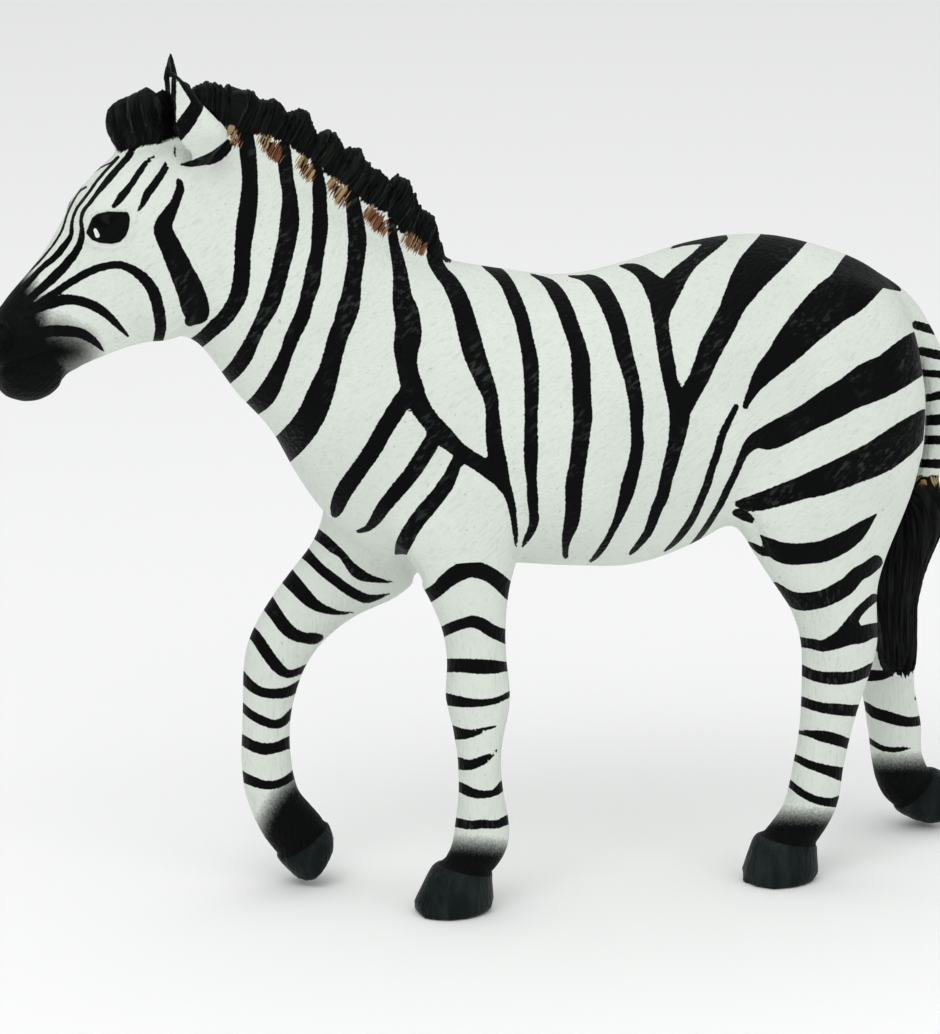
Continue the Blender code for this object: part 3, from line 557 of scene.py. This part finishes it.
def paint_maps(points, normals, with_ears=True):
    """All the paint masks at the given corners of the casting."""
    units = drawing_units(points)
    x, y, z = units.T
    chest = np.exp(-((y + 30) / 9) ** 2) * (1 - fade(z, 68, 84))
    fold = FOLD_X * (1 + 1.4 * chest)
    folded, facing = points.copy(), normals.copy()
    far = points[:, 0] < fold
    folded[far, 0] = 2 * fold[far] - points[far, 0]
    facing[far, 0] *= -1
    near_spots, spots = seen_at(folded), seen_at(points)
    slant = np.clip(np.abs(facing @ np.array(ahead)), 0.4, 1)

    tail = (np.abs(x) < TAIL_HALF_WIDTH) & (y > tail_front(z)) & (z > TAIL_FOOT) & (z < TAIL_ROOT)
    upward_share = np.clip((z - 94) / 12, 0, 1)
    leaf = (np.abs(x) > 2.95) & (z > 94.5 + 0.9 * np.clip(y + 36.5, 0, 9)) & (y < -31.0)
    near_ear = leaf & (x > 0) & (y > -39.0 - 2.4 * upward_share)
    far_ear = leaf & (x < 0) & (y > -39.0)

    trunk = from_strokes(near_spots, FOREHEAD_LINES + CHEEK_STRIPES + NECK_BANDS + SHOULDER_BRANCHES
                         + TRUNK_BANDS + CROUP_FORK + RUMP_STRIPES)
    low = np.where(x < 0, np.where(y > 22, 50.0, 45.0), 38.0)
    trunk += 6 * np.clip(low - z, 0, 10) * ~((x > 0) & (y > 20))
    legs = np.full(len(points), REACH)
    behind_face = (z < LEG_TOP) | (y > FACE_BACK)
    sprayed = from_strokes(near_spots, MUZZLE_SPRAY)
    sprayed[behind_face] = REACH
    for bands, spray, zone in (
            (NEAR_FORE_BANDS, NEAR_FORE_SPRAY, (x > 0.5) & (y < 14) & (z < NEAR_LEG_TOP)),
            (NEAR_HIND_BANDS, NEAR_HIND_SPRAY, (x > 0.5) & (y > 22) & (z < NEAR_LEG_TOP)),
            (FAR_FORE_BANDS, FAR_FORE_SPRAY, (x < 1.5) & (y < -6) & (z < LEG_TOP)),
            (FAR_HIND_BANDS, FAR_HIND_SPRAY, (x < -0.5) & (y > 22) & (z < LEG_TOP))):
        legs[zone] = from_strokes(spots[zone], bands)
        low_part = zone & (z < FETLOCK_TOP)
        sprayed[low_part] = from_strokes(spots[low_part], spray)
    stripe = np.minimum(trunk, legs)
    stripe[tail] = from_strokes(spots[tail], DOCK_BANDS)
    stripe[near_ear] = from_strokes(spots[near_ear], EAR_STROKES + EAR_BASE)
    poll = (np.abs(x) > 2.2) & (z > 88) & (y < -30) & ~near_ear
    stripe[poll] = np.minimum(stripe[poll], from_strokes(near_spots[poll], EAR_BASE))
    # the right ear has a black tip and one band
    stripe[far_ear] = (np.minimum(np.abs(z - 98.0) - 0.8, 101.4 - z) * PIXELS_PER_UNIT)[far_ear]

    ear = (near_ear | far_ear) & with_ears
    hair = np.minimum(from_patch(near_spots, MANE_PATCH), from_patch(near_spots, FORELOCK_PATCH))
    hair[ear | (y > 0) | (z < MANE_FOOT) | (np.abs(x) > 3.3)] = REACH
    hair[tail] = (z[tail] - TASSEL_TOP) * PIXELS_PER_UNIT
    shade = from_strokes(near_spots, MOUTH_SHADE, HAZE_REACH)
    shade[behind_face] = HAZE_REACH
    eye = from_patch(near_spots, EYE_PATCH)
    glint = from_strokes(near_spots, PAINTED_EYE_GLINT)
    for mask in (eye, glint):
        mask[(y > FACE_BACK) | (z < EYE_FOOT)] = REACH
    streaks = from_strokes(near_spots, ROOT_STREAKS)
    streaks[ear | (z < MANE_FOOT)] = REACH
    streaks[tail] = (np.abs(z[tail] - TASSEL_TOP + 0.5) - 0.4) * PIXELS_PER_UNIT
    maps = {"stripe": stripe / slant, "hair": hair, "sprayed": sprayed, "eye": eye, "glint": glint,
            "streaks": streaks}
    for name, pixels in maps.items():
        maps[name] = np.clip(pixels / PIXELS_PER_MM, -MASK_LIMIT, MASK_LIMIT)
    maps["shade"] = shade / PIXELS_PER_MM
    maps["legs"] = fade(40 - z, -4, 4)
    maps["hoof"] = hoof_depth(units)
    maps["comb"] = combed(units)
    return maps


def combed(units):
    """Millimetres across the hairs, then along them, for the mane, the forelock and the tail."""
    x, y, z = units.T
    root = np.array(MANE_ROOT, dtype=float)
    across_hair, along_hair, best = np.zeros(len(units)), np.zeros(len(units)), np.full(len(units), 1e9)
    travelled = 0.0
    for a, b in zip(root[:-1], root[1:]):
        run = b - a
        length = np.hypot(*run)
        t = np.clip(((y - a[0]) * run[0] + (z - a[1]) * run[1]) / length ** 2, 0, 1)
        gap = np.hypot(y - a[0] - t * run[0], z - a[1] - t * run[1])
        closer = gap < best
        best[closer] = gap[closer]
        across_hair[closer] = travelled + t[closer] * length
        along_hair[closer] = gap[closer]
        travelled += length
    brow = fade(-y, 38.0, 39.5) * (z > 90)
    turn = np.arctan2(x, np.maximum(z - 95.0, 0.3)) * 4.0 + 0.45 * (z + y)
    across_hair = across_hair * (1 - brow) + turn * brow
    along_hair = along_hair * (1 - brow) + (z - y) * 0.7 * brow
    low = (y > 45) & (z < 60)
    across_hair[low] = (np.arctan2(x, y - 58.5) * 3.4)[low]
    along_hair[low] = z[low]
    return np.stack((across_hair, along_hair, np.zeros(len(units))), axis=1) * UNIT * 1000


# each hoof's side of the body, and its coronet as two (length, height) points in units, front first
CORONETS = ((1, (-7.3, 6.3), (-0.2, 4.6)), (1, (35.5, 6.2), (43.4, 4.4)),
            (-1, (-23.3, 3.6), (-16.5, 8.0)), (-1, (61.3, 2.5), (67.0, 8.0)))


def hoof_depth(units):
    """How far below the coronet a corner lies in millimetres, or below zero above it."""
    x, y, z = units.T
    depth = np.full(len(units), -MASK_LIMIT)
    for side, (y0, z0), (y1, z1) in CORONETS:
        near = (x * side > 0) & (np.abs(y - (y0 + y1) / 2) < 12) & (z < 14)
        line = np.array([y1 - y0, z1 - z0]) / np.hypot(y1 - y0, z1 - z0)
        below = (y - y0) * line[1] - (z - z0) * line[0]
        depth = np.where(near, np.maximum(depth, below), depth)
    return np.clip(depth * UNIT * 1000, -MASK_LIMIT, MASK_LIMIT)


def keep_maps(piece, maps):
    for name, values in maps.items():
        kind, part = ("FLOAT", "value") if values.ndim == 1 else ("FLOAT_VECTOR", "vector")
        if name in piece.data.attributes:
            piece.data.attributes.remove(piece.data.attributes[name])
        layer = piece.data.attributes.new(name, kind, "POINT")
        layer.data.foreach_set(part, values.astype(np.float32).ravel())


# Folds and edges cut in the casting, each as its line, its depth and how softly it ends, in millimetres
FOLDS = (
    (((203, 178, 2), (212, 200, 3), (221, 223, 4), (229, 250, 4), (230, 270, 3), (227, 288, 2)), 0.28, 0.9),
    (((762, 392, 3), (766, 420, 3), (768, 450, 3), (769, 480, 2)), 0.30, 1.3),
    (((752, 520, 1), (759, 538, 1.5), (767, 557, 1)), 0.35, 0.5),
    (((515, 480, 2), (519, 505, 2.5), (521, 525, 2.5), (520, 548, 1)), 0.35, 0.8),
    (((398, 553, 1), (406, 560, 2), (414, 570, 2), (419, 580, 1)), 0.45, 0.5),
    (((60, 352, 1), (45, 357, 1.5), (25, 363, 1.5), (5, 368, 1.5), (-12, 370, 1)), 0.40, 0.35),
    (((72, 366, 1), (66, 377, 1), (64, 384, 0.5)), 0.22, 0.3),
    (((1, 327, 2), (6, 334, 3), (7, 343, 3), (3, 350, 1.5)), 0.65, 0.4),
    (((455, 604, 1), (462, 640, 2), (466, 672, 1)), 0.14, 1.0),
    (((812, 610, 2), (816, 650, 2), (812, 690, 1)), 0.16, 1.0),
    (((300, 598, 1), (318, 590, 2), (338, 580, 1)), 0.14, 0.8),
)
RIDGES = 4096  # heights drawn before they repeat


def hair_ridges(position, width, seed):
    """Rounded ridges side by side, each of its own height, at places across the hairs in millimetres."""
    heights = np.random.default_rng(seed).uniform(0.45, 1.0, RIDGES)
    index = np.floor(position / width).astype(int)
    inside = position / width - index
    return np.sin(np.pi * inside) ** 0.7 * heights[index % RIDGES]


def cut_relief(points, normals):
    """The corners pushed in along the folds, and out at the eyelids, hooves and tassel."""
    units = drawing_units(points)
    spots = np.where((units[:, 2] > LEG_TOP)[:, None], seen_mirrored(points), seen_at(points))
    push = np.zeros(len(points))
    for line, depth, soft in FOLDS:
        gap = np.maximum(from_strokes(spots, (line,)) / PIXELS_PER_MM, 0)
        push -= depth * np.exp(-(gap / soft) ** 2)
    head = (units[:, 1] < FACE_BACK) & (units[:, 2] > EYE_FOOT)
    lid = from_patch(spots[head], EYE_PATCH) / PIXELS_PER_MM
    push[head] += 0.26 * np.exp(-((lid - 0.42) / 0.30) ** 2) - 0.10 * np.exp(-(lid / 0.16) ** 2)
    depth = hoof_depth(units)
    push += 0.16 * fade(depth, -0.10, 0.12) - 0.12 * np.exp(-((depth + 0.35) / 0.35) ** 2)
    push *= (units[:, 2] > 1.0)
    # the tail's tassel is combed, and its ends hang unevenly
    comb = combed(units)
    strand = (0.7 * hair_ridges(comb[:, 0] + 0.35 * np.sin(comb[:, 1] * 0.5) + 200, 0.95, 3)
              + 0.3 * hair_ridges(comb[:, 0] - 0.3 * np.sin(comb[:, 1] * 0.4) + 300, 0.6, 4))
    tassel = hair_zones(units)[1] * fade(TASSEL_TOP - units[:, 2], -1.0, 3.0)
    push += tassel * (0.55 * strand - 0.30)
    points = points + normals * (push * MM)[:, None]
    points[:, 2] -= MM * tassel * fade(-units[:, 2], -29.0, -23.5) * (3.2 * strand - 1.6)
    return points


place_corners(body, cut_relief(corners(body), outward(body)))
keep_maps(body, paint_maps(corners(body), outward(body)))

make_active(body)
bpy.ops.object.shade_smooth()
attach(body, "root")
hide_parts("zebra")


def linear(code):
    """An sRGB hex colour as linear numbers."""
    parts = [int(code[i:i + 2], 16) / 255 for i in (1, 3, 5)]
    return [c / 12.92 if c <= 0.04045 else ((c + 0.055) / 1.055) ** 2.4 for c in parts] + [1.0]


def add(tree, kind, links=None, output=0, **settings):
    """Adds a node with its settings and its inputs, each a value or a socket, and gives its output."""
    node = tree.nodes.new(kind)
    for name, value in settings.items():
        setattr(node, name, value)
    for socket, value in (links or {}).items():
        if isinstance(value, bpy.types.NodeSocket):
            tree.links.new(value, node.inputs[socket])
        else:
            node.inputs[socket].default_value = value
    return node.outputs[output] if node.outputs else None


# Matt acrylic on soft PVC, sprayed white and brushed black. The black is a little glossier than the white,
# and a grey sheen is painted on its raised hairs where light would catch them.
FUR_SLOPE = -0.65  # radians, how the trunk's hairs lean
FUR_DEPTH = 0.00030  # metres
paint = bpy.data.materials.new("acrylic on cast PVC")
paint.use_nodes = True
tree = paint.node_tree
tree.nodes.clear()
place = add(tree, "ShaderNodeTexCoord", output="Object")
slope = add(tree, "ShaderNodeMapping", {"Vector": place, "Rotation": (FUR_SLOPE, 0.0, 0.0)})
comb = add(tree, "ShaderNodeAttribute", attribute_name="comb", output="Vector")
field = {name: add(tree, "ShaderNodeAttribute", attribute_name=name, output="Fac")
         for name in ("stripe", "hair", "sprayed", "shade", "eye", "glint", "streaks", "legs", "hoof",
                      "crest")}

# Each noise's grains per metre in each direction, and its detail; along the comb, per millimetre. Fur
# strokes are about 0.2 mm wide and 1 mm long, along the trunk and down the legs, and the strokes cut in
# the nap are about 0.45 mm wide and 1.6 mm long.
for name, origin, scale, detail in (
        ("trunk fur", slope, (4200, 900, 3600), 3.0),
        ("leg fur", place, (4600, 4600, 1000), 3.0),
        ("trunk nap", slope, (2000, 620, 1900), 2.0),
        ("leg nap", place, (2300, 2300, 600), 2.0),
        ("crumb", place, (2600, 2600, 2600), 2.0),
        ("fine hair", comb, (3.2, 0.14, 1.0), 1.5),
        ("thin hair", comb, (6.0, 0.16, 1.0), 1.0),
        ("lock", comb, (1.3, 0.16, 1.0), 1.0),
        ("mist", place, (3600, 3600, 3600), 1.0),
        ("patches", place, (60, 60, 60), 2.0),
        ("flecks", place, (1700, 1700, 1700), 0.0),
        ("sheen patches", place, (130, 130, 90), 1.0),
        ("horn", place, (500, 500, 120), 2.0)):
    drawn = add(tree, "ShaderNodeMapping", {"Vector": origin, "Scale": scale})
    field[name] = add(tree, "ShaderNodeTexNoise",
                      {"Vector": drawn, "Scale": 1.0, "Detail": detail, "Roughness": 0.6}, output="Fac")
for name in ("fur", "nap"):
    field[name] = add(tree, "ShaderNodeMix",
                      {0: field["legs"], 2: field["trunk " + name], 3: field["leg " + name]})

# the brush's hairs and the combed ones leave the paint's edges ragged, by so many millimetres
for name, noise, amount in (
        ("stripe", "fur", 0.30),
        ("stripe", "crumb", 0.10),
        ("hair", "fine hair", 1.2),
        ("streaks", "thin hair", 2.2),
        ("sprayed", "mist", 1.1),
        ("shade", "mist", 1.1)):
    centred = add(tree, "ShaderNodeMath", {0: field[noise], 1: 0.5}, operation="SUBTRACT")
    field[name] = add(tree, "ShaderNodeMath", {0: centred, 1: amount, 2: field[name]},
                      operation="MULTIPLY_ADD")

# soft steps from none to all of a paint, each between two values of what it is read from
for name, source, none, full in (
        ("stripe", "stripe", 0.05, -0.05),
        ("hair", "hair", 0.08, -0.08),
        ("streaks", "streaks", 0.10, -0.10),
        ("hoof", "hoof", -0.06, 0.06),
        ("eye", "eye", 0.05, -0.05),
        ("glint", "glint", 0.03, -0.03),
        ("patches", "patches", 0.35, 0.70),
        ("flecks", "flecks", 0.175, 0.15),
        ("raised", "nap", 0.50, 0.70),
        ("groove shade", "nap", 0.44, 0.30),
        ("sheen patches", "sheen patches", 0.46, 0.64),
        ("tan locks", "lock", 0.42, 0.58),
        ("dark strands", "thin hair", 0.48, 0.56),
        ("highlit strands", "fine hair", 0.46, 0.62),
        ("crest", "crest", 0.55, 0.92),
        ("horn", "horn", 0.35, 0.75)):
    field[name] = add(tree, "ShaderNodeMapRange",
                      {"Value": field[source], "From Min": none, "From Max": full},
                      interpolation_type="SMOOTHSTEP")
for name, none, full in (("sprayed", 1.5, -1.1), ("shade", 3.6, -0.8)):
    field[name] = add(tree, "ShaderNodeMapRange",
                      {"Value": field[name], "From Min": none, "From Max": full})

# A grey sheen is painted on the black where raised hairs meet sheen patches, and shade is painted into
# the white's fur grooves. The spray's cover, with the painted shade at the mouth's corner, is squared,
# because half the light already looks nearly white to the eye. Relief is in shares of the fur's depth.
for name, operation, *operands in (
        ("painted sheen", "MULTIPLY", "raised", "sheen patches"),
        ("flecks", "MULTIPLY", "flecks", 0.30),
        ("groove shade", "MULTIPLY", "groove shade", 0.15),
        ("crest", "MAXIMUM", "crest", 0.25),
        ("strand highlight", "MULTIPLY", "crest", "highlit strands"),
        # the spray's cover takes in the painted shade at the mouth's corner
        ("sprayed", "MAXIMUM", "sprayed", "shade"),
        ("bare", "SUBTRACT", 1.0, "sprayed"),
        ("bare", "POWER", "bare", 2.0),
        ("sprayed", "SUBTRACT", 1.0, "bare"),
        ("skin relief", "MULTIPLY_ADD", "crumb", 0.25, "nap"),
        ("hair relief", "ADD", "fine hair", "lock"),
        ("hair relief", "MULTIPLY", "hair relief", 1.6)):
    field[name] = add(tree, "ShaderNodeMath", {i: field.get(o, o) for i, o in enumerate(operands)},
                      operation=operation)

# the paints in the order they went on, with the painted shade, sheen and highlights among them, each with
# its share and the two colours that it lies between
colours = {}
for name, share, under, over in (
        ("white", "patches", "#DFE5DD", "#D8DFD7"),
        ("white", "flecks", "white", "#6F756E"),
        # painted shade: the white is darkened in the fur's grooves
        ("white", "groove shade", "white", "#A9B0A8"),
        # painted sheen: grey on the black where light would catch its raised hairs
        ("black", "painted sheen", "#030404", "#2B312D"),
        ("coat", "stripe", "white", "black"),
        # the spray, with the painted shade at the mouth's corner
        ("coat", "sprayed", "coat", "#050607"),
        # painted highlight: grey along the crests of the combed strands
        ("combed", "strand highlight", "#040505", "#30352F"),
        ("coat", "hair", "coat", "combed"),
        ("tan", "tan locks", "#A38C66", "#744832"),
        ("tan", "dark strands", "tan", "#0C0806"),
        ("coat", "streaks", "coat", "tan"),
        ("horn", "horn", "#121818", "#232B2B"),
        ("coat", "hoof", "coat", "horn"),
        ("coat", "eye", "coat", "#030404"),
        # painted highlight in the eye
        ("coat", "glint", "coat", "#E8ECE8")):
    below, above = (linear(c) if c[0] == "#" else colours[c] for c in (under, over))
    colours[name] = add(tree, "ShaderNodeMix", {0: field[share], 6: below, 7: above},
                        data_type="RGBA", output=2)

roughness = 0.52
for share, value in (("stripe", 0.46), ("hair", 0.42), ("hoof", 0.36), ("eye", 0.28)):
    roughness = add(tree, "ShaderNodeMix", {0: field[share], 2: roughness, 3: value})
relief = field["skin relief"]
for share, value in (("hair", field["hair relief"]), ("eye", 0.0)):
    relief = add(tree, "ShaderNodeMix", {0: field[share], 2: relief, 3: value})
bump = add(tree, "ShaderNodeBump", {"Height": relief, "Strength": 0.9, "Distance": FUR_DEPTH})
skin = add(tree, "ShaderNodeBsdfPrincipled", {
    "Base Color": colours["coat"], "Roughness": roughness, "IOR": 1.45, "Specular IOR Level": 0.07,
    "Normal": bump})
add(tree, "ShaderNodeOutputMaterial", {"Surface": skin})
body.data.materials.clear()
body.data.materials.append(paint)


# Mane and forelock
# The mane is cut in the mould as a row of upright tufts of combed hair, and the forelock as a curl that
# hangs over the brow. They are one with the body and painted black, with brown brushed in at the roots.
HAIR_MARGIN = 0.7  # how far the combed skin reaches past the painted hair, in millimetres
TUFT_ENDS = (-38.2, -35.0, -31.0, -26.6, -23.2, -19.8, -16.0, -13.4, -9.8, -7.4, -4.0)
HAIR_WIDTH = 0.50  # millimetres
PLACE_WIDTH = 0.4  # millimetres along the root, for each height that is measured
TUFT_RISE, STRAND_RISE = 0.50, 0.30  # millimetres
SUNK = 0.0009  # how far the casting's own skin lies below the hair, in metres

mane = bpy.data.objects.new("zebra_mane", body.data.copy())
bpy.context.scene.collection.objects.link(mane)
mane.data.name = "zebra_mane"


def keep_corners(piece, kept):
    """Deletes the corners of the piece that aren't kept, and the faces on them."""
    piece.data.vertices.foreach_set("select", ~kept)
    piece.data.edges.foreach_set("select", np.zeros(len(piece.data.edges), dtype=bool))
    piece.data.polygons.foreach_set("select", np.zeros(len(piece.data.polygons), dtype=bool))
    make_active(piece)
    bpy.context.tool_settings.mesh_select_mode = (True, False, False)
    bpy.ops.object.mode_set(mode="EDIT")
    bpy.ops.mesh.delete(type="VERT")
    bpy.ops.object.mode_set(mode="OBJECT")


def map_of(piece, name):
    flat = np.empty(len(piece.data.vertices), dtype=np.float32)
    piece.data.attributes[name].data.foreach_get("value", flat)
    return flat.astype(float)


units = drawing_units(corners(mane))
keep_corners(mane, (map_of(mane, "hair") < HAIR_MARGIN) & (units[:, 2] > MANE_FOOT))
for _ in range(2):
    split_faces(mane, np.ones(len(mane.data.vertices), dtype=bool))

points, normals = corners(mane), outward(mane)
units = drawing_units(points)
maps = paint_maps(points, normals, with_ears=False)
# the casting's round tufts are evened out along the top, to leave room for the hair's own ends
place_across = np.floor(maps["comb"][:, 0] / PLACE_WIDTH).astype(int)
tallest = np.zeros(place_across.max() + 1)
np.maximum.at(tallest, np.maximum(place_across, 0), maps["comb"][:, 1])
tallest = np.convolve(np.pad(tallest, 2, mode="edge"), np.ones(5) / 5, mode="valid")
even = np.convolve(np.pad(tallest, 8, mode="edge"), np.ones(17) / 17, mode="valid")
rises = np.divide(even, tallest, out=np.ones_like(even), where=tallest > 3)
stretch = 1 + 0.6 * (np.clip(rises, 0.8, 1.25)[np.maximum(place_across, 0)] - 1)
points[:, 2] += MM * (stretch - 1) * maps["comb"][:, 1] * (units[:, 1] > -38.0)
hair_edge = maps["hair"]
across_hair, along_hair = maps["comb"][:, 0], maps["comb"][:, 1]
sway = (0.25 * np.sin(along_hair * 1.1 + across_hair * 0.7)
        + 0.12 * np.sin(along_hair * 2.7 + across_hair * 1.9))
strand = (0.6 * hair_ridges(across_hair + sway + 200, HAIR_WIDTH, 1)
          + 0.4 * hair_ridges(across_hair - sway + 300.17, HAIR_WIDTH * 0.53, 2))
on_neck = units[:, 1] > -38.5
ends = np.array(TUFT_ENDS)
tuft = np.clip(np.searchsorted(ends, units[:, 1]) - 1, 0, len(ends) - 2)
share = np.clip((units[:, 1] - ends[tuft]) / (ends[tuft + 1] - ends[tuft]), 0, 1)
swell = np.sin(np.pi * share ** 1.1) ** 0.6
rise = fade(along_hair, 0.4, 3.4)
cover = fade(-hair_edge, -HAIR_MARGIN, 0.9)
tuft_lift = np.where(on_neck, rise * (TUFT_RISE * swell - 0.34), 0.10)
lift = -0.12 + cover * (0.02 + STRAND_RISE * strand) + tuft_lift * cover
points += normals * (lift * MM)[:, None]
# hair ends stand up unevenly along the top of the mane
ragged_top = on_neck * fade(along_hair, 3.2, 5.4) * cover
points[:, 2] += MM * ragged_top * (0.60 * strand + 0.30 * swell - 0.45)
place_corners(mane, points)

make_active(mane)
bpy.context.tool_settings.mesh_select_mode = (True, False, False)
bpy.ops.object.mode_set(mode="EDIT")
bpy.ops.mesh.select_all(action="SELECT")
bpy.ops.mesh.fill_holes(sides=0)
bpy.ops.object.mode_set(mode="OBJECT")
bpy.ops.object.shade_smooth()
maps = paint_maps(corners(mane), outward(mane), with_ears=False)
# the strands' crests, where a grey highlight is painted
maps["crest"] = strand * cover
keep_maps(mane, maps)
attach(mane, "root")

# the casting's own skin lies lower under the hair
points, normals = corners(body), outward(body)
under = fade(-map_of(body, "hair"), 0.15, 0.9) * (drawing_units(points)[:, 2] > MANE_FOOT)
place_corners(body, points - normals * (SUNK * under)[:, None])


# Floor and light
# A sheet of pale card under the toy, lit by soft boxes as in a small photo studio.
FLOOR_SIZE = 6.0  # metres
SKY = 0.53  # strength
deselect_all()
bpy.ops.mesh.primitive_plane_add(size=FLOOR_SIZE, location=(0, 0, 0))
floor = bpy.context.object
floor.name = "floor"
card = bpy.data.materials.new("white card")
card.use_nodes = True
surface = card.node_tree.nodes["Principled BSDF"]
surface.inputs["Base Color"].default_value = linear("#FFFFFF")
surface.inputs["Roughness"].default_value = 0.8
floor.data.materials.append(card)


def soft_box(name, spot, size, power):
    """A square light that faces the toy, its size in metres and its power in watts."""
    deselect_all()
    bpy.ops.object.light_add(type="AREA", location=spot)
    light = bpy.context.object
    light.name = name
    light.data.size = size
    light.data.energy = power
    light.rotation_euler = (AIM - Vector(spot)).to_track_quat("-Z", "Y").to_euler()


soft_box("key", (0.42, -0.30, 0.60), 0.45, 1.3)
soft_box("fill", (0.62, 0.28, 0.25), 0.45, 0.5)
soft_box("top", (0.0, 0.0, 1.60), 3.00, 17.6)
world = bpy.data.worlds.new("studio")
bpy.context.scene.world = world
world.use_nodes = True
world.node_tree.nodes["Background"].inputs["Color"].default_value = linear("#F6F8F7")
world.node_tree.nodes["Background"].inputs["Strength"].default_value = SKY
bpy.context.scene.view_settings.view_transform = "Standard"
